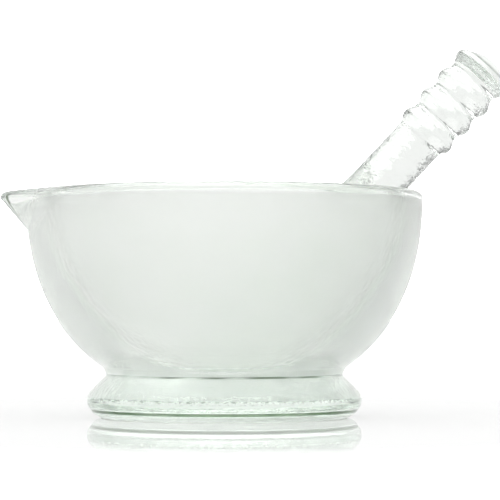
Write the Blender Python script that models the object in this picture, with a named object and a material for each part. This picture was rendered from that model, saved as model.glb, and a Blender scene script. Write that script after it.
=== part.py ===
"""Laboratory mortar and pestle of pressed glass.

Two loose pieces: a footed mortar whose rim is drawn out into a pouring spout, and a pestle with
four grip ribs at one end and a round grinding head at the other. Metres, +Z up. The origin is the
centre of the mortar's flat underside, +Z is the mortar's axis and the spout points along -X. The
pestle lies in the XZ plane as it is left after grinding, its head in the bowl and its shaft on
the rim, and it lifts straight out along +Z.
"""
import math

import bmesh
import bpy
from mathutils import Vector

MM = 0.001

# Mortar: bowl
RIM_RADIUS = 60.0 * MM            # outside of the rim
RIM_WALL = 6.0 * MM               # glass thickness at the rim
RIM_ROUND = 2.1 * MM              # height of the rounding on top of the rim
BOWL_DROP = 63.0 * MM             # depth of the outer curve, from the rim down to the axis
BOWL_FULLNESS = 2.3               # superellipse exponent of the outer curve, 2 being an ellipse
FLOOR_THICKNESS = 7.5 * MM        # glass between the inner bowl and the outer curve on the axis

# Mortar: foot
WAIST_RADIUS = 35.6 * MM          # the crease between the foot and the bowl
WAIST_HEIGHT = 12.8 * MM          # how high the crease stands
WAIST_ROUND = 0.7 * MM            # fillet in the crease
NECK_HEIGHT = 2.2 * MM            # from the crease up to where the bowl starts
NECK_SPREAD = 1.0 * MM            # how much wider the neck is where the bowl starts
NECK_ROUND = 2.0 * MM             # fillet between the neck and the bowl
FOOT_FLARE = 5.9 * MM             # how far the foot's edge stands out past the crease
FOOT_TOE = 5.3 * MM               # radius of the edge's lower half, down to the underside
FOOT_SHOULDER = 3.8 * MM          # radius of the edge's upper half

# Mortar: spout
SPOUT_REACH = 7.9 * MM            # how far the nose stands out past the rim
SPOUT_SLOPE = math.radians(49.8)  # of the underside, from the horizontal
SPOUT_WALL = 3.3 * MM             # glass thickness of the underside
SPOUT_NOSE = 4.8 * MM             # radius of the nose outside, seen from above
CHANNEL_NOSE = 2.8 * MM           # radius of the pouring channel's end, seen from above

# Pestle, from the end of the grip to the grinding head
PESTLE_LENGTH = 124.1 * MM
END_DOME = 2.8 * MM               # height of the shallow dome on the grip's end
END_ROUND = 2.1 * MM              # rounding between the dome and the first rib
RIB_COUNT = 4
RIB_PITCH = 8.0 * MM
RIB_HEIGHT = 1.4 * MM             # crest above the groove
GRIP_SWELL = 0.5 * MM             # how much thicker than the shaft the grip is at its end
SHAFT_RADIUS = 7.7 * MM
SHAFT_LENGTH = 18.0 * MM          # plain stretch between the last rib and the flare
FLARE_POWER = 1.35                # how the flare gathers pace towards the head
HEAD_RADIUS = 13.5 * MM

# How the pestle lies in the mortar
PESTLE_LEAN = math.radians(43.1)  # from the vertical, towards +X
REST_GAP = 0.4 * MM               # left between the pestle and the mortar where they touch

# Fineness of the meshes
MORTAR_SECTORS = 50               # around the bowl outside the spout
SPOUT_SECTORS = 24                # across the spout
SPOUT_SPREAD = math.radians(33)   # each side of the spout's middle, where the sectors are close
PESTLE_SECTORS = 40


def arc(centre, radii, start, end, steps):
    """Points (radius, height) along an elliptical arc, both ends included; angles in radians."""
    points = []
    for step in range(steps + 1):
        angle = start + (end - start) * step / steps
        across = centre[0] + radii[0] * math.cos(angle)
        up = centre[1] + radii[1] * math.sin(angle)
        points.append((across, up))
    return points


def fillet(before, corner, after, radius, steps):
    """Points on the arc that rounds a corner of a path."""
    corner = Vector(corner)
    back = (Vector(before) - corner).normalized()
    ahead = (Vector(after) - corner).normalized()
    half_angle = back.angle(ahead) / 2
    centre = corner + (back + ahead).normalized() * radius / math.sin(half_angle)
    first = corner + back * radius / math.tan(half_angle) - centre
    last = corner + ahead * radius / math.tan(half_angle) - centre
    sweep = first.angle(last)
    points = []
    for step in range(steps + 1):
        share = step / steps
        near = math.sin((1 - share) * sweep) / math.sin(sweep)
        far = math.sin(share * sweep) / math.sin(sweep)
        points.append(tuple(centre + first * near + last * far))
    return points


def skin(name, rings, low_pole, high_pole):
    """A closed mesh over rings of points, stacked from the outside's foot. A pole is the point
    that closes an end, or None for a flat end."""
    mesh = bmesh.new()
    rows = [[mesh.verts.new(point) for point in ring] for ring in rings]
    count = len(rows[0])
    for lower, upper in zip(rows, rows[1:]):
        for i in range(count):
            j = (i + 1) % count
            mesh.faces.new((lower[i], lower[j], upper[j], upper[i]))
    for ring, pole in ((rows[0][::-1], low_pole), (rows[-1], high_pole)):
        if pole is None:
            mesh.faces.new(ring)
            continue
        tip = mesh.verts.new(pole)
        for i in range(count):
            mesh.faces.new((ring[i], ring[(i + 1) % count], tip))
    data = bpy.data.meshes.new(name)
    mesh.to_mesh(data)
    mesh.free()
    data.shade_smooth()
    data.set_sharp_from_angle(angle=math.radians(40))
    part = bpy.data.objects.new(name, data)
    bpy.context.scene.collection.objects.link(part)
    return part


def glass(name, colour, roughness):
    """A soda-lime glass material."""
    material = bpy.data.materials.new(name)
    material.use_nodes = True
    shader = material.node_tree.nodes["Principled BSDF"]
    shader.inputs["Base Color"].default_value = (*colour, 1.0)
    shader.inputs["Roughness"].default_value = roughness
    shader.inputs["Metallic"].default_value = 0.0
    shader.inputs["Transmission Weight"].default_value = 0.8
    shader.inputs["IOR"].default_value = 1.52
    return material


# Mortar --------------------------------------------------------------------------------------

def bowl_depth(radius):
    """How far below the rim's top the bowl's outside has this radius."""
    share = (radius / RIM_RADIUS) ** BOWL_FULLNESS
    return BOWL_DROP * (1 - share) ** (1 / BOWL_FULLNESS)


def bowl_radius(depth):
    """Radius of the bowl's outside at this depth below the rim's top."""
    share = (depth / BOWL_DROP) ** BOWL_FULLNESS
    return RIM_RADIUS * (1 - share) ** (1 / BOWL_FULLNESS)


INNER_RADIUS = RIM_RADIUS - RIM_WALL
INNER_DROP = BOWL_DROP - FLOOR_THICKNESS
BOWL_START_RADIUS = WAIST_RADIUS + NECK_SPREAD
BOWL_START_HEIGHT = WAIST_HEIGHT + NECK_HEIGHT
RIM_HEIGHT = BOWL_START_HEIGHT + bowl_depth(BOWL_START_RADIUS)
CORNER_HEIGHT = RIM_HEIGHT - RIM_ROUND
FOOT_RADIUS = WAIST_RADIUS + FOOT_FLARE


def inner_radius(depth):
    """Radius of the bowl's inside at this depth below the rim's top."""
    return INNER_RADIUS * math.sqrt(1 - (depth / INNER_DROP) ** 2)


def foot_profile():
    """From the edge of the flat underside up to where the bowl starts."""
    toe_centre = (FOOT_RADIUS - FOOT_TOE, FOOT_TOE)
    toe = arc(toe_centre, (FOOT_TOE, FOOT_TOE), -math.pi / 2, 0, 5)
    # The flank is the tangent from the crease to the shoulder's circle.
    crease = (WAIST_RADIUS, WAIST_HEIGHT)
    centre = (FOOT_RADIUS - FOOT_SHOULDER, FOOT_TOE)
    run = crease[0] - centre[0]
    rise = crease[1] - centre[1]
    turn = math.atan2(rise, run) - math.acos(FOOT_SHOULDER / math.hypot(run, rise))
    shoulder = arc(centre, (FOOT_SHOULDER, FOOT_SHOULDER), 0, turn, 3)
    start = (BOWL_START_RADIUS, BOWL_START_HEIGHT)
    above = (BOWL_START_RADIUS + NECK_ROUND, RIM_HEIGHT - bowl_depth(BOWL_START_RADIUS + NECK_ROUND))
    crease_round = fillet(shoulder[-1], crease, start, WAIST_ROUND, 3)
    neck_round = fillet(crease, start, above, NECK_ROUND, 2)
    return toe + shoulder[1:] + crease_round + neck_round


def nose_outside(height):
    """Distance from the axis to the spout's nose: a straight line down its underside."""
    tip = RIM_RADIUS + SPOUT_REACH
    return tip - (CORNER_HEIGHT - height) / math.tan(SPOUT_SLOPE)


def nose_inside(height):
    """Distance from the axis to the end of the pouring channel."""
    return nose_outside(height) - SPOUT_WALL / math.sin(SPOUT_SLOPE)


def sector_angles():
    """Angles of the mortar's sectors, from the spout's middle, anticlockwise from above."""
    close = [SPOUT_SPREAD * (2 * i / SPOUT_SECTORS - 1) for i in range(SPOUT_SECTORS)]
    rest = 2 * (math.pi - SPOUT_SPREAD)
    wide = [SPOUT_SPREAD + rest * i / MORTAR_SECTORS for i in range(MORTAR_SECTORS)]
    return close + wide


def mortar_ring(radius, height, nose=0.0, nose_radius=SPOUT_NOSE):
    """A ring of the mortar, round unless the nose lies past it. Then two straight sides, tangent
    to the circle, run together in the rounded nose."""
    nose = max(nose, radius)
    side_angle = math.acos(radius / nose)
    softening = math.tan(side_angle) / (nose / nose_radius - 1)
    points = []
    for angle in sector_angles():
        turn = math.remainder(angle, 2 * math.pi)
        off_tangent = side_angle + softening - math.hypot(turn, softening)
        spread = radius / math.cos(max(off_tangent, 0.0))
        points.append((-spread * math.cos(angle), -spread * math.sin(angle), height))
    return points


def meeting_height(nose, wall):
    """Height at which a line of the spout runs into the wall of the bowl, found by halving."""
    low = BOWL_START_HEIGHT
    high = CORNER_HEIGHT
    for _ in range(40):
        middle = (low + high) / 2
        if nose(middle) > wall(RIM_HEIGHT - middle):
            high = middle
        else:
            low = middle
    return low


def level_rows(low, high, steps):
    """Evenly spaced values from low to high, the first left out."""
    return [low + (high - low) * (step + 1) / steps for step in range(steps)]


def rim_point(outer, inner, share, lift):
    """A point on the rim's rounding: share runs from 1 at the outside to -1 at the inside."""
    middle = (Vector(outer) + Vector(inner)) / 2
    half = (Vector(outer) - Vector(inner)) / 2
    return middle + half * share + Vector((0, 0, lift))


def make_mortar():
    """The bowl, foot and spout, pressed as one piece, with a solid foot."""
    outside = [mortar_ring(radius, height) for radius, height in foot_profile()]
    spout_root = meeting_height(nose_outside, bowl_radius)
    curve_start = math.asin((BOWL_START_RADIUS / RIM_RADIUS) ** (BOWL_FULLNESS / 2))
    curve_end = math.acos(((RIM_HEIGHT - spout_root) / BOWL_DROP) ** (BOWL_FULLNESS / 2))
    for angle in level_rows(curve_start, curve_end, 9):
        depth = BOWL_DROP * math.cos(angle) ** (2 / BOWL_FULLNESS)
        outside.append(mortar_ring(bowl_radius(depth), RIM_HEIGHT - depth))
    for height in level_rows(spout_root, CORNER_HEIGHT, 5):
        radius = bowl_radius(RIM_HEIGHT - height)
        outside.append(mortar_ring(radius, height, nose_outside(height)))

    inside = []
    channel_root = meeting_height(nose_inside, inner_radius)
    for height in level_rows(channel_root, CORNER_HEIGHT, 5)[::-1]:
        radius = inner_radius(RIM_HEIGHT - height)
        inside.append(mortar_ring(radius, height, nose_inside(height), CHANNEL_NOSE))
    for angle in level_rows(math.acos((RIM_HEIGHT - channel_root) / INNER_DROP), 0, 11)[:-1]:
        depth = INNER_DROP * math.cos(angle)
        inside.append(mortar_ring(inner_radius(depth), RIM_HEIGHT - depth))

    rim = []
    for share, lift in arc((0, 0), (1, RIM_ROUND), math.pi / 6, math.pi * 5 / 6, 4):
        rim.append([rim_point(a, b, share, lift) for a, b in zip(outside[-1], inside[0])])

    pole = (0, 0, RIM_HEIGHT - INNER_DROP)
    return skin("mortar", outside + rim + inside, None, pole)


# Pestle --------------------------------------------------------------------------------------

END_RADIUS = SHAFT_RADIUS + GRIP_SWELL + RIB_HEIGHT
FIRST_RIB = END_DOME + END_ROUND
RIBS_END = FIRST_RIB + (RIB_COUNT - 0.5) * RIB_PITCH
FLARE_START = RIBS_END + SHAFT_LENGTH
HEAD_CENTRE = PESTLE_LENGTH - HEAD_RADIUS


def flare_join():
    """The angle at which the flare runs into the ball of the head, as its tangent."""
    angle = 0.0
    for _ in range(20):
        rise = HEAD_RADIUS * math.cos(angle) - SHAFT_RADIUS
        run = HEAD_CENTRE - HEAD_RADIUS * math.sin(angle) - FLARE_START
        angle = math.atan(FLARE_POWER * rise / run)
    return angle


JOIN_ANGLE = flare_join()
JOIN = HEAD_CENTRE - HEAD_RADIUS * math.sin(JOIN_ANGLE)
JOIN_RADIUS = HEAD_RADIUS * math.cos(JOIN_ANGLE)


def pestle_radius(distance):
    """Radius at a distance from the grip's end, between the first rib and the head's ball."""
    if distance < RIBS_END:
        swell = GRIP_SWELL * (RIBS_END - distance) / (RIBS_END - FIRST_RIB)
        wave = math.cos(2 * math.pi * (distance - FIRST_RIB) / RIB_PITCH)
        return SHAFT_RADIUS + swell + RIB_HEIGHT * (1 + wave) / 2
    share = max(distance - FLARE_START, 0.0) / (JOIN - FLARE_START)
    return SHAFT_RADIUS + (JOIN_RADIUS - SHAFT_RADIUS) * share ** FLARE_POWER


def pestle_profile():
    """(radius, distance from the grip's end), without the points on the axis."""
    dome_edge = END_RADIUS - END_ROUND
    dome_radius = (dome_edge ** 2 + END_DOME ** 2) / (2 * END_DOME)
    dome_angle = math.asin(dome_edge / dome_radius)
    profile = []
    for angle in level_rows(0, dome_angle, 4):
        profile.append((dome_radius * math.sin(angle), dome_radius * (1 - math.cos(angle))))
    profile += arc((dome_edge, FIRST_RIB), (END_ROUND, END_ROUND), -math.pi / 2, 0, 4)[1:]
    places = level_rows(FIRST_RIB, RIBS_END, int(8 * (RIB_COUNT - 0.5)))
    places += level_rows(RIBS_END, FLARE_START, 2)
    places += level_rows(FLARE_START, JOIN, 7)
    profile += [(pestle_radius(place), place) for place in places]
    ball = arc((0, HEAD_CENTRE), (HEAD_RADIUS, HEAD_RADIUS), -JOIN_ANGLE, math.pi / 2, 10)
    return profile + ball[1:-1]


def make_pestle():
    """Turned about its own axis; its origin is the centre of the head's ball."""
    rings = []
    for radius, distance in reversed(pestle_profile()):
        ring = []
        for i in range(PESTLE_SECTORS):
            angle = 2 * math.pi * i / PESTLE_SECTORS
            point = (radius * math.cos(angle), radius * math.sin(angle), HEAD_CENTRE - distance)
            ring.append(point)
        rings.append(ring)
    head_pole = (0, 0, HEAD_CENTRE - PESTLE_LENGTH)
    grip_pole = (0, 0, HEAD_CENTRE)
    return skin("pestle", rings, head_pole, grip_pole)


def head_clearance(centre):
    """Gap between the head's ball, at this centre, and the bowl's inside."""
    nearest = math.inf
    for across, down in arc((0, 0), (INNER_RADIUS, INNER_DROP), 0, math.pi / 2, 720):
        nearest = min(nearest, math.hypot(abs(centre.x) - across, RIM_HEIGHT - centre.z - down))
    in_bowl = math.hypot(centre.x / INNER_RADIUS, (RIM_HEIGHT - centre.z) / INNER_DROP) < 1
    return (nearest if in_bowl else -nearest) - HEAD_RADIUS


def rim_rest(centre, along, across):
    """How far the pestle's axis lies out, along across, when its outline rests on the rim."""
    nearest = math.inf
    for share, lift in arc((0, 0), (RIM_WALL / 2, RIM_ROUND), 0, math.pi, 180):
        point = Vector((RIM_RADIUS - RIM_WALL / 2 + share, 0, CORNER_HEIGHT + lift))
        crossing = HEAD_CENTRE - (point - centre).dot(along)
        nearest = min(nearest, point.dot(across) - pestle_radius(crossing))
    return nearest - REST_GAP


def pestle_place():
    """Centre of the head when the shaft rests on the rim and the head on the bowl."""
    along = Vector((math.sin(PESTLE_LEAN), 0, math.cos(PESTLE_LEAN)))
    across = Vector((math.cos(PESTLE_LEAN), 0, -math.sin(PESTLE_LEAN)))
    centre = Vector((0, 0, RIM_HEIGHT - INNER_DROP / 2))
    for _ in range(8):
        offset = rim_rest(centre, along, across)
        # Up the slope in even steps to the first place that is clear, then by halving the step.
        reach = -INNER_DROP
        step = HEAD_RADIUS / 4
        for _ in range(60):
            centre = across * offset + along * (reach + step)
            if head_clearance(centre) > REST_GAP:
                step /= 2
            else:
                reach += step
    return centre


for leftover in list(bpy.data.objects):
    bpy.data.objects.remove(leftover)

mortar = make_mortar()
mortar.data.materials.append(glass("pressed_glass", (0.80, 0.86, 0.82), 0.25))

pestle = make_pestle()
pestle.location = pestle_place()
pestle.rotation_euler = (0, PESTLE_LEAN, 0)
pestle.data.materials.append(glass("pestle_glass", (0.90, 0.93, 0.90), 0.12))
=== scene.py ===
"""A laboratory mortar and pestle of pressed glass, standing as it is left after grinding."""
import math

import bpy
from mathutils import Matrix, Vector, noise


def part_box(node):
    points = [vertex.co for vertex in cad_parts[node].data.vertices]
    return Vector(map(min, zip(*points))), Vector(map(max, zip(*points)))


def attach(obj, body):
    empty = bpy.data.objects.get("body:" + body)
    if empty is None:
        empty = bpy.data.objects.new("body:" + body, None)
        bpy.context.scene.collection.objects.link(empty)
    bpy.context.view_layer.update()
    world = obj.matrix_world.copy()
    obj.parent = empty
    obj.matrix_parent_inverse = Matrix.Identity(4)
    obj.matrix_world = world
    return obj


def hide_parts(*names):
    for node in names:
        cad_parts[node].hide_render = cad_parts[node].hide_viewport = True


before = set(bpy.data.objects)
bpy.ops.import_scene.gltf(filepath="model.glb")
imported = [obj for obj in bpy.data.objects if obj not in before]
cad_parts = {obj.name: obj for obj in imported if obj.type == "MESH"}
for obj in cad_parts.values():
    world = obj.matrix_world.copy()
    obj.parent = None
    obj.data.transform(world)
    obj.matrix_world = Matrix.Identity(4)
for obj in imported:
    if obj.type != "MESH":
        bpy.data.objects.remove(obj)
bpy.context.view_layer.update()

# Mortar -------------------------------------------------------------------------------------
# The bowl, its solid foot and its pouring spout are one piece of soda-lime glass, pressed hot in
# an iron mould by a plunger. The inside is then ground matt with grit, up to just below the rim.
MM = 0.001
mortar_low, mortar_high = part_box("mortar")
rim_radius = mortar_high.x
rim_height = mortar_high.z
spout_tip = -mortar_low.x

rim_wall = 6.0 * MM
rim_round = 2.1 * MM
bowl_drop = 63.0 * MM
bowl_fullness = 2.3        # 2 would be an ellipse, and more is fuller
floor_thickness = 7.5 * MM
waist_radius = 35.6 * MM
waist_height = 12.8 * MM
waist_round = 0.7 * MM
neck_height = 2.2 * MM
neck_spread = 1.0 * MM
neck_round = 2.0 * MM
foot_radius = 41.5 * MM
foot_toe = 5.3 * MM
foot_shoulder = 3.8 * MM
spout_slope = math.radians(49.8)
spout_wall = 3.3 * MM
spout_nose = 4.8 * MM
spout_root = 13 * MM       # below the rim, outside
channel_nose = 2.8 * MM
channel_root = 16 * MM     # below the rim, inside

inner_radius = rim_radius - rim_wall
inner_drop = bowl_drop - floor_thickness
corner_height = rim_height - rim_round
neck_top = (waist_radius + neck_spread, waist_height + neck_height)


def bowl_depth(radius):
    """Depth below the rim at which the bowl's outside has a radius."""
    return bowl_drop * (1 - (radius / rim_radius) ** bowl_fullness) ** (1 / bowl_fullness)


def bowl_outside(depth):
    """Radius of the bowl's outside at a depth below the rim."""
    return rim_radius * (1 - (depth / bowl_drop) ** bowl_fullness) ** (1 / bowl_fullness)


def bowl_inside(depth):
    """Radius of the bowl's inside at a depth below the rim."""
    return inner_radius * math.sqrt(max(1 - (depth / inner_drop) ** 2, 0.0))


def nose_outside(height):
    """Distance from the axis to the spout's nose."""
    return spout_tip - (corner_height - height) / math.tan(spout_slope)


def nose_inside(height):
    """Distance from the axis to the end of the pouring channel."""
    return nose_outside(height) - spout_wall / math.sin(spout_slope)


def along(low, high, steps):
    """Evenly spaced values from low to high, the first left out."""
    return [low + (high - low) * (step + 1) / steps for step in range(steps)]


def arc(centre, radius, start, end, steps):
    """Points along an arc, both ends included."""
    turns = [start] + along(start, end, steps)
    return [(centre[0] + radius * math.cos(t), centre[1] + radius * math.sin(t)) for t in turns]


def fillet(before, corner, after, radius, steps):
    """Points on the arc that rounds a corner."""
    corner = Vector(corner)
    back = (Vector(before) - corner).normalized()
    ahead = (Vector(after) - corner).normalized()
    half = back.angle(ahead) / 2
    centre = corner + (back + ahead).normalized() * radius / math.sin(half)
    first = corner + back * radius / math.tan(half) - centre
    last = corner + ahead * radius / math.tan(half) - centre
    turns = [first.slerp(last, step / steps) for step in range(steps + 1)]
    return [tuple(centre + turn * first.length) for turn in turns]


def foot_outline():
    """The flat underside, the rounded foot and the crease at the waist, up to the bowl."""
    underside = [(radius, 0.0) for radius in along(0.0, foot_radius - foot_toe, 14)]
    toe = arc((foot_radius - foot_toe, foot_toe), foot_toe, -math.pi / 2, 0, 44)
    crease = (waist_radius, waist_height)
    centre = (foot_radius - foot_shoulder, foot_toe)
    run = crease[0] - centre[0]
    rise = crease[1] - centre[1]
    turn = math.atan2(rise, run) - math.acos(foot_shoulder / math.hypot(run, rise))
    shoulder = arc(centre, foot_shoulder, 0, turn, 14)
    crease_rounding = fillet(shoulder[-1], crease, neck_top, waist_round, 6)
    start = Vector(shoulder[-1])
    flank = [tuple(start.lerp(crease_rounding[0], share)) for share in along(0, 1, 24)[:-1]]
    wider = neck_top[0] + neck_round
    neck = fillet(crease, neck_top, (wider, rim_height - bowl_depth(wider)), neck_round, 5)
    return underside + toe[1:] + shoulder[1:] + flank + crease_rounding + neck


def sector_angles(count=360, crowding=0.5):
    """Angles from the middle of the spout, closest together there and widest opposite it."""
    turns = [2 * math.pi * step / count for step in range(count)]
    return [turn - crowding * math.sin(turn) for turn in turns]


def mortar_ring(radius, height, nose=0.0, nose_radius=spout_nose):
    """A ring of the mortar, round unless the spout's nose lies past it."""
    nose = max(nose, radius)
    side_angle = math.acos(radius / nose)
    softening = math.tan(side_angle) / (nose / nose_radius - 1)
    ring = []
    for angle in sector_angles():
        turn = math.remainder(angle, 2 * math.pi)
        off_tangent = side_angle + softening - math.hypot(turn, softening)
        spread = radius / math.cos(max(off_tangent, 0.0))
        ring.append(Vector((-spread * math.cos(angle), -spread * math.sin(angle), height)))
    return ring


def mortar_rings():
    """Rings from the middle of the underside, up over the rim and down to the bowl's bottom.
    The outside's come first, then the inside's."""
    outside = [mortar_ring(radius, height) for radius, height in foot_outline()]
    start = math.asin((neck_top[0] / rim_radius) ** (bowl_fullness / 2))
    end = math.acos((spout_root / bowl_drop) ** (bowl_fullness / 2))
    for turn in along(start, end, 36)[1:]:
        depth = bowl_drop * math.cos(turn) ** (2 / bowl_fullness)
        outside.append(mortar_ring(bowl_outside(depth), rim_height - depth))
    for height in along(rim_height - spout_root, corner_height, 22):
        radius = bowl_outside(rim_height - height)
        outside.append(mortar_ring(radius, height, nose_outside(height)))
    outer = outside[-1]
    radius = bowl_inside(rim_height - corner_height)
    inner = mortar_ring(radius, corner_height, nose_inside(corner_height), channel_nose)
    for share, lift in arc((0, 0), 1, 0, math.pi, 16)[1:]:
        up = Vector((0, 0, lift * rim_round))
        outside.append([a.lerp(b, (1 - share) / 2) + up for a, b in zip(outer, inner)])
    inside = []
    for height in along(corner_height, rim_height - channel_root, 26):
        radius = bowl_inside(rim_height - height)
        inside.append(mortar_ring(radius, height, nose_inside(height), channel_nose))
    for turn in along(math.acos(channel_root / inner_drop), 0, 46)[:-1]:
        depth = inner_drop * math.cos(turn)
        inside.append(mortar_ring(bowl_inside(depth), rim_height - depth))
    return outside, inside


def closed_skin(name, rings, low_pole, high_pole):
    """A closed mesh over rings of points, with a point that closes each end."""
    count = len(rings[0])
    points = [point for ring in rings for point in ring] + [low_pole, high_pole]
    top = (len(rings) - 1) * count
    faces = []
    for i in range(count):
        j = (i + 1) % count
        faces.append((j, i, len(points) - 2))
        faces.append((top + i, top + j, len(points) - 1))
        for low in range(0, top, count):
            faces.append((low + i, low + j, low + count + j, low + count + i))
    mesh = bpy.data.meshes.new(name)
    mesh.from_pydata(points, [], faces)
    mesh.shade_smooth()
    piece = bpy.data.objects.new(name, mesh)
    bpy.context.scene.collection.objects.link(piece)
    return piece


outside, inside = mortar_rings()
mortar = closed_skin(
    "mortar_pressed_glass",
    outside + inside,
    Vector((0, 0, 0)),
    Vector((0, 0, rim_height - inner_drop)),
)
# Thick clear glass looks dark along its sharp edges. A fine line of painted shade in the surface
# stands for that at the waist, where it comes and goes, round the toe, where it lies in a shallow
# groove, and down the spout's nose, inside and out.
shade_line_width = 0.6 * MM
toe_edge = 2.3 * MM
toe_groove = 0.2 * MM
waist_edge_width = 0.4 * MM
waist_edge_stretch = 9 * MM
nose_edge_width = 3.2 * MM
channel_shade = 0.5
# The grinding ends in an uneven line below the rim and stays out of the spout's channel.
ground_top = rim_height - 2.3 * MM
ground_waver = 0.4 * MM
ground_waver_length = 14 * MM
ground_fade = 0.8 * MM
# The bowl's outside is faintly satin, which blurs the hard line where the eye passes the inner
# wall. The underside is matt in patches.
satin = 0.3
satin_fade_low = 6 * MM
satin_fade_high = 3 * MM
clear_below_rim = 1 * MM
underside_radius = foot_radius - foot_toe + 1 * MM
underside_patch = 5 * MM
# The foot's flank is hammered, the whole foot swells a little, and the rim isn't quite flat.
hammering = 0.03 * MM
hammer_mark = 2.2 * MM
foot_swell = 0.015 * MM
foot_swell_length = 14 * MM
rim_waver = 0.06 * MM
rim_waver_length = 12 * MM
least_cold = 0.1


def wave(point, size, seed):
    """Smooth noise from -1 to 1 whose swells are about this size across."""
    return noise.noise(point / size + Vector((seed, seed, seed)))


def ramp(value, low, high):
    """0 below low, 1 above high and even in between."""
    return min(max((value - low) / (high - low), 0.0), 1.0)


def stretch(value, start, full, fading, end):
    """0 up to start, 1 from full to fading, and 0 again past end."""
    return ramp(value, start, full) * (1 - ramp(value, fading, end))


def fine_line(offset, width):
    """1 on a line, fading to 0 at this width to either side of it."""
    return 1 - ramp(abs(offset), width / 2, width)


def inside_marks(place):
    """How ground, how much painted edge shade and how wrinkled the inside is at a point, each from 0 to 1.
    """
    past_wall = math.hypot(place.x, place.y) - bowl_inside(max(rim_height - place.z, 0.0))
    edge = ground_top + ground_waver * wave(place, ground_waver_length, 3)
    ground = ramp(edge - place.z, 0.0, ground_fade) * (1 - ramp(past_wall, 0.5 * MM, 1.5 * MM))
    in_channel = ramp(past_wall, 0.5 * MM, 2 * MM)
    # Painted shade: a dark line down the middle of the channel's nose.
    edge_shade = channel_shade * in_channel * fine_line(place.y, nose_edge_width / 2)
    return ground, edge_shade, 0.0


def hammered_share(place):
    """1 on the foot's sloping flank, 0 off it."""
    return stretch(place.z, foot_toe, foot_toe + 1 * MM, waist_height - 2 * MM, waist_height)


def outside_marks(place):
    """The same for the outside and the rim."""
    radius = math.hypot(place.x, place.y)
    past_wall = 0.0
    if place.z > neck_top[1]:
        past_wall = radius - bowl_outside(max(rim_height - place.z, 0.0))
    # Painted shade lines round the toe, at the waist's crease where they come and go, and down the nose.
    toe = fine_line(place.z - toe_edge, shade_line_width)
    broken = ramp(wave(place, waist_edge_stretch, 6), -0.7, 0.1)
    waist = broken * fine_line(place.z - waist_height, waist_edge_width)
    nose = ramp(past_wall, 0.2 * MM, 1 * MM) * fine_line(place.y, nose_edge_width)
    satin_end = corner_height - clear_below_rim
    on_bowl = stretch(place.z, neck_top[1], neck_top[1] + satin_fade_low,
                      satin_end - satin_fade_high, satin_end)
    ground = satin * on_bowl * (1 - ramp(past_wall, 0.5 * MM, 2 * MM))
    if radius < underside_radius and place.z < 0.1 * MM:
        ground = ramp(wave(place, underside_patch, 8), -1.1, 0.2)
    return ground, max(toe, waist, nose), max(hammered_share(place), least_cold)


def chilled(place):
    """Where a point of the outside lies once the mould has left its marks."""
    out = Vector((place.x, place.y, 0)).normalized()
    on_foot = stretch(place.z, 0.5 * MM, 2 * MM, waist_height, waist_height + 4 * MM)
    hammered = hammering * wave(place, hammer_mark, 7) * hammered_share(place)
    swell = foot_swell * wave(place, foot_swell_length, 2) * on_foot
    groove = toe_groove * fine_line(place.z - toe_edge, shade_line_width)
    lift = rim_waver * wave(place, rim_waver_length, 4)
    lift *= ramp(place.z, corner_height, rim_height)
    return place + out * (hammered + swell - groove) + Vector((0, 0, lift))


def keep_marks(piece, marks):
    """Keeps each point's marks in the mesh, where the glass reads them."""
    for name, values in zip(("ground", "painted_edge_shade", "cold"), zip(*marks)):
        piece.data.attributes.new(name, "FLOAT", "POINT").data.foreach_set("value", values)


first_inside = len(outside) * len(outside[0])
underside_pole = len(mortar.data.vertices) - 2
marks = []
for vertex in mortar.data.vertices:
    place = vertex.co.copy()
    if vertex.index >= first_inside and vertex.index != underside_pole:
        marks.append(inside_marks(place))
    else:
        marks.append(outside_marks(place))
        vertex.co = chilled(place)
keep_marks(mortar, marks)


def linear(hex_colour):
    """An sRGB hex colour as the linear colour that a shader takes."""
    parts = [int(hex_colour[i:i + 2], 16) / 255 for i in (1, 3, 5)]
    bent = [c / 12.92 if c <= 0.04045 else ((c + 0.055) / 1.055) ** 2.4 for c in parts]
    return (*bent, 1.0)


def node(tree, kind, inputs=None, **settings):
    """Adds a node. Settings are the node's own; an input is a value, or a socket to link."""
    made = tree.nodes.new(kind)
    for name, value in settings.items():
        setattr(made, name, value)
    for name, value in (inputs or {}).items():
        if isinstance(value, bpy.types.NodeSocket):
            tree.links.new(value, made.inputs[name])
        else:
            made.inputs[name].default_value = value
    return made


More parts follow.
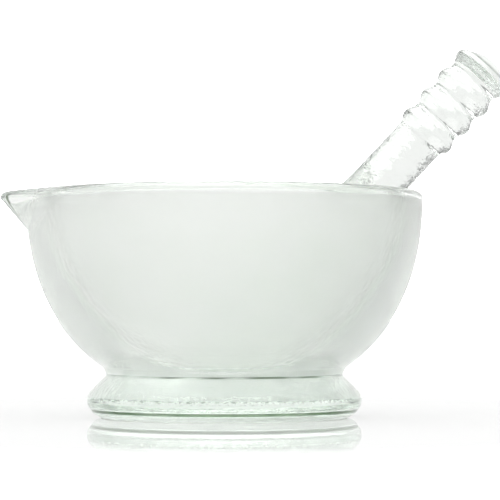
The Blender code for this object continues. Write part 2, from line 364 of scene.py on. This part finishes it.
def pressed_glass():
    """Pressed soda-lime glass, clear with a faint green from iron in the sand that deepens with its
    thickness.
    Some edges carry painted shade, a fine dark line. Where it is ground with grit it turns matt white."""
    clear = linear("#FFFFFF")
    faint_cast = linear("#F8FBF7")
    painted_shade_colour = linear("#22361D")
    iron_green = linear("#A0DDB3")
    material = bpy.data.materials.new("pressed_soda_lime_glass")
    material.use_nodes = True
    tree = material.node_tree
    tree.nodes.clear()
    place = node(tree, "ShaderNodeTexCoord").outputs["Object"]
    ground = node(tree, "ShaderNodeAttribute", attribute_name="ground").outputs["Fac"]
    edge_shade = node(tree, "ShaderNodeAttribute", attribute_name="painted_edge_shade").outputs["Fac"]
    cold = node(tree, "ShaderNodeAttribute", attribute_name="cold").outputs["Fac"]
    # Real grit scratches are a tenth of a millimetre; these are drawn coarser so that they show.
    grit = node(tree, "ShaderNodeTexNoise", {
        "Vector": place, "Scale": 1 / (0.9 * MM), "Detail": 3.0})
    # Hand grinding is uneven over about a centimetre.
    worn = node(tree, "ShaderNodeTexNoise", {
        "Vector": place, "Scale": 1 / (9 * MM), "Detail": 4.0})
    matt = node(tree, "ShaderNodeMapRange", {
        "Value": worn.outputs["Fac"], "To Min": 0.68, "To Max": 0.85})
    roughness = node(tree, "ShaderNodeMapRange", {
        "Value": ground, "To Min": 0.04, "To Max": matt.outputs["Result"]})
    clearness = node(tree, "ShaderNodeMapRange", {"Value": ground, "To Min": 1.0, "To Max": 0.85})
    scratches = node(tree, "ShaderNodeMath", {0: ground, 1: grit.outputs["Fac"]},
                     operation="MULTIPLY")
    grit_bump = node(tree, "ShaderNodeBump", {
        "Height": scratches.outputs["Value"], "Strength": 0.1, "Distance": 0.1 * MM})
    # The cold mould's wrinkles are a millimetre or two across.
    skin = node(tree, "ShaderNodeTexNoise", {
        "Vector": place, "Scale": 1 / (1.5 * MM), "Detail": 2.0})
    wrinkles = node(tree, "ShaderNodeMath", {0: cold, 1: skin.outputs["Fac"]},
                    operation="MULTIPLY")
    wrinkle_bump = node(tree, "ShaderNodeBump", {
        "Height": wrinkles.outputs["Value"], "Strength": 1.0, "Distance": 0.35 * MM,
        "Normal": grit_bump.outputs["Normal"]})
    cast = node(tree, "ShaderNodeMix", {"Factor": worn.outputs["Fac"], 6: faint_cast, 7: clear},
                data_type="RGBA")
    # Painted shade: the edge lines are dark in the surface's colour.
    colour = node(tree, "ShaderNodeMix", {"Factor": edge_shade, 6: cast.outputs[2], 7: painted_shade_colour},
                  data_type="RGBA")
    shader = node(tree, "ShaderNodeBsdfPrincipled", {
        "Base Color": colour.outputs[2],
        "Roughness": roughness.outputs["Result"],
        "IOR": 1.52,
        "Transmission Weight": clearness.outputs["Result"],
        "Normal": wrinkle_bump.outputs["Normal"],
    })
    body = node(tree, "ShaderNodeVolumeAbsorption", {"Color": iron_green, "Density": 2.2})
    node(tree, "ShaderNodeOutputMaterial", {
        "Surface": shader.outputs["BSDF"], "Volume": body.outputs["Volume"]})
    return material


mortar.data.materials.append(pressed_glass())
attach(mortar, "mortar")
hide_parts("mortar")

# Pestle -------------------------------------------------------------------------------------
# A solid pestle pressed from the same glass, with a ribbed grip. Its shaft keeps the wrinkles of
# the cooler mould, and the round head is ground to match the bowl.
pestle_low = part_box("pestle")[0]
pestle_length = 124.1 * MM
end_dome = 2.8 * MM
end_round = 2.1 * MM
rib_count = 4
rib_pitch = 8.0 * MM
rib_height = 1.4 * MM
grip_swell = 0.5 * MM
shaft_radius = 7.7 * MM
shaft_length = 18.0 * MM
flare_power = 1.35
head_radius = 13.5 * MM
pestle_lean = math.radians(43.1)
pestle_sectors = 140

first_rib = end_dome + end_round
ribs_end = first_rib + (rib_count - 0.5) * rib_pitch
flare_start = ribs_end + shaft_length
head_centre = pestle_length - head_radius
end_radius = shaft_radius + grip_swell + rib_height
join_angle = math.radians(7.8)
join = head_centre - head_radius * math.sin(join_angle)
join_radius = head_radius * math.cos(join_angle)


def pestle_radius(distance):
    """Radius at a distance from the grip's end."""
    if distance < ribs_end:
        swell = grip_swell * (ribs_end - distance) / (ribs_end - first_rib)
        crest = math.cos(2 * math.pi * (distance - first_rib) / rib_pitch)
        return shaft_radius + swell + rib_height * (1 + crest) / 2
    share = ramp(distance, flare_start, join)
    return shaft_radius + (join_radius - shaft_radius) * share ** flare_power


def pestle_outline():
    """(radius, distance from the grip's end) without the points on the axis."""
    dome_edge = end_radius - end_round
    dome_radius = (dome_edge ** 2 + end_dome ** 2) / (2 * end_dome)
    dome_angle = math.asin(dome_edge / dome_radius)
    dome = arc((dome_radius, 0), dome_radius, math.pi, math.pi - dome_angle, 12)[1:]
    outline = [(radius, distance) for distance, radius in dome]
    outline += arc((dome_edge, first_rib), end_round, -math.pi / 2, 0, 12)[1:]
    places = along(first_rib, ribs_end, 90) + along(ribs_end, flare_start, 50)
    places += along(flare_start, join, 100)
    outline += [(pestle_radius(place), place) for place in places]
    return outline + arc((0, head_centre), head_radius, -join_angle, math.pi / 2, 30)[1:-1]


pestle_rings = []
for radius, distance in reversed(pestle_outline()):
    ring = []
    for step in range(pestle_sectors):
        turn = 2 * math.pi * step / pestle_sectors
        ring.append(Vector((radius * math.cos(turn), radius * math.sin(turn), head_centre - distance)))
    pestle_rings.append(ring)
pestle = closed_skin(
    "pestle_pressed_glass",
    pestle_rings,
    Vector((0, 0, -head_radius)),
    Vector((0, 0, head_centre)),
)
# Its origin is the middle of the head until it is laid in the bowl. The wrinkles are deepest on
# the plain shaft, the ribs are a little uneven, and the ground head stays true. The grip's end
# is rubbed a little matt, with the same painted shade, a fine dark line, round its edge.
shaft_foot = head_centre - flare_start
shaft_top = head_centre - ribs_end
grip_top = head_centre - first_rib
end_edge = head_centre - end_dome
head_ground_to = 14 * MM
head_ground_waver = 1.5 * MM
head_ground_waver_length = 12 * MM
head_ground_fade = 3 * MM
end_rubbed = 0.35
end_rubbed_fade = 1 * MM
end_edge_shade = 0.7
# Layers of unevenness, each with its height, its length and its seed.
shaft_wrinkles = ((0.10 * MM, 2.4 * MM, 11), (0.10 * MM, 5 * MM, 12), (0.05 * MM, 1.4 * MM, 15))
rib_unevenness = ((0.14 * MM, 9 * MM, 13), (0.03 * MM, 2.4 * MM, 14))
wrinkles_start = shaft_foot - 25 * MM
wrinkles_end = shaft_top + 4 * MM
unevenness_fades = grip_top - 6 * MM
laid = Matrix.Translation((pestle_low.x + head_radius, 0, pestle_low.z + head_radius))
laid = laid @ Matrix.Rotation(pestle_lean, 4, "Y")


def layered(point, layers):
    """The sum of some layers of unevenness at a point."""
    return sum(height * wave(point, length, seed) for height, length, seed in layers)


marks = []
for vertex in pestle.data.vertices:
    place = vertex.co.copy()
    edge = head_ground_to + head_ground_waver * wave(place, head_ground_waver_length, 5)
    rubbed = end_rubbed * ramp(place.z, grip_top - end_rubbed_fade, grip_top + end_rubbed_fade)
    on_shaft = stretch(place.z, wrinkles_start, shaft_foot, shaft_top, wrinkles_end)
    on_grip = stretch(place.z, shaft_top, wrinkles_end, unevenness_fades, grip_top)
    wrinkle = layered(place, shaft_wrinkles) * on_shaft
    uneven = layered(place, rib_unevenness) * on_grip
    # Ground, painted shade round the grip's end, and wrinkles, each from 0 to 1.
    marks.append((
        max(ramp(edge - place.z, 0, head_ground_fade), rubbed),
        end_edge_shade * fine_line(place.z - end_edge, shade_line_width),
        max(on_shaft, 0.5 * on_grip),
    ))
    out = Vector((place.x, place.y, 0)).normalized()
    vertex.co = laid @ (place + out * (wrinkle + uneven))
keep_marks(pestle, marks)
pestle.data.materials.append(pressed_glass())
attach(pestle, "pestle")
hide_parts("pestle")

# Bench --------------------------------------------------------------------------------------
# A sheet of white acrylic, polished under and near the mortar and matt further out, so that the
# mirror image fades out close to it. It glows a little, as a light table does.
bench_half = 4.0
bench_height = -0.1 * MM
polished_to = 0.14
matt_from = 0.18
mirror_share = 0.65
bench_glow = 0.42
corners = [(-bench_half, -bench_half), (bench_half, -bench_half), (bench_half, bench_half)]
corners.append((-bench_half, bench_half))
bench_mesh = bpy.data.meshes.new("bench")
bench_mesh.from_pydata([(x, y, bench_height) for x, y in corners], [], [(0, 1, 2, 3)])
bench = bpy.data.objects.new("bench", bench_mesh)
bpy.context.scene.collection.objects.link(bench)
# White acrylic reads as an even pale sheet, and mirrors what stands on it where it is polished.
acrylic = bpy.data.materials.new("white_acrylic_sheet")
acrylic.use_nodes = True
tree = acrylic.node_tree
tree.nodes.clear()
place = node(tree, "ShaderNodeTexCoord").outputs["Object"]
far = node(tree, "ShaderNodeVectorMath", {0: place}, operation="LENGTH").outputs["Value"]
polish = node(tree, "ShaderNodeMapRange", {
    "Value": far, "From Min": polished_to, "From Max": matt_from,
    "To Min": mirror_share, "To Max": 0.0}, interpolation_type="SMOOTHSTEP")
matt_face = node(tree, "ShaderNodeBsdfDiffuse", {"Color": linear("#B0B1B0")})
glow = node(tree, "ShaderNodeEmission", {"Color": linear("#FFFFFF"), "Strength": bench_glow})
lit = node(tree, "ShaderNodeAddShader", {0: matt_face.outputs["BSDF"], 1: glow.outputs["Emission"]})
mirror = node(tree, "ShaderNodeBsdfGlossy", {"Color": linear("#FFFFFF"), "Roughness": 0.02})
face = node(tree, "ShaderNodeMixShader", {
    0: polish.outputs["Result"], 1: lit.outputs["Shader"], 2: mirror.outputs["BSDF"]})
node(tree, "ShaderNodeOutputMaterial", {"Surface": face.outputs["Shader"]})
bench.data.materials.append(acrylic)

# Studio -------------------------------------------------------------------------------------
# Plain white to the camera. To the glass and the bench it is grey paper round the horizon, a dark
# ring above that, a bright light overhead, and two pairs of dark flags at the sides, which draw
# the edges of the clear glass.
brightness = 3.4
horizon = 0.275
dark_ring = 0.07
flag_grey = 0.1
# How far round from the side (0) to the front or the back (1), and the grey there.
flag_stops = [(0.0, 1.0), (0.14, 1.0), (0.22, flag_grey), (0.34, flag_grey), (0.42, 1.0)]
# How high, as the sine of the angle above the horizon, and the grey there.
sky_stops = [(0.0, horizon), (0.50, horizon), (0.56, dark_ring), (0.70, dark_ring), (0.78, 1.0), (1.0, 1.0)]
# The flags end short of overhead, between these heights.
flags_full_to = 0.94
flags_gone_at = 0.975

scene = bpy.context.scene
world = bpy.data.worlds.new("studio")
scene.world = world
world.use_nodes = True
tree = world.node_tree
tree.nodes.clear()
way = node(tree, "ShaderNodeTexCoord").outputs["Generated"]
split = node(tree, "ShaderNodeSeparateXYZ", {"Vector": way})
across = node(tree, "ShaderNodeMath", {0: split.outputs["X"]}, operation="ABSOLUTE")
deep = node(tree, "ShaderNodeMath", {0: split.outputs["Y"]}, operation="ABSOLUTE")
bearing = node(tree, "ShaderNodeMath", {0: deep.outputs["Value"], 1: across.outputs["Value"]},
               operation="ARCTAN2")
share = node(tree, "ShaderNodeMapRange", {
    "Value": bearing.outputs["Value"], "From Max": math.pi / 2})
flags = node(tree, "ShaderNodeValToRGB", {"Fac": share.outputs["Result"]})
sky = node(tree, "ShaderNodeValToRGB", {"Fac": split.outputs["Z"]})
for greys, stops in ((flags, flag_stops), (sky, sky_stops)):
    elements = greys.color_ramp.elements
    for stop in stops[2:]:
        elements.new(stop[0])
    for element, (position, grey) in zip(elements, stops):
        element.position = position
        element.color = (grey, grey, grey, 1)
flagged = node(tree, "ShaderNodeMapRange", {
    "Value": split.outputs["Z"], "From Min": flags_full_to, "From Max": flags_gone_at,
    "To Min": 1.0, "To Max": 0.0})
light = node(tree, "ShaderNodeMix", {
    "Factor": flagged.outputs["Result"], 6: sky.outputs["Color"], 7: flags.outputs["Color"]},
    data_type="RGBA", blend_type="MULTIPLY")
seen = node(tree, "ShaderNodeLightPath").outputs["Is Camera Ray"]
shown = node(tree, "ShaderNodeMix", {"Factor": seen, 6: light.outputs[2], 7: linear("#FFFFFF")},
             data_type="RGBA")
backdrop = node(tree, "ShaderNodeBackground", {"Color": shown.outputs[2], "Strength": brightness})
node(tree, "ShaderNodeOutputWorld", {"Surface": backdrop.outputs["Background"]})
scene.view_settings.view_transform = "Standard"
# Light crosses many glass faces on its way, so it needs many bounces.
scene.cycles.max_bounces = 24
scene.cycles.transmission_bounces = 24
scene.cycles.glossy_bounces = 8

# A long lens, level with the middle of the mortar and looking a little up.
lens_length = 158.4
eye = Vector((0, -666.7 * MM, 33.8 * MM))
looked_at = Vector((7.73 * MM, 0, 50.47 * MM))
camera = bpy.data.objects.new("camera", bpy.data.cameras.new("camera"))
scene.collection.objects.link(camera)
camera.data.lens = lens_length
camera.location = eye
camera.rotation_euler = (looked_at - eye).to_track_quat("-Z", "Y").to_euler()
scene.camera = camera
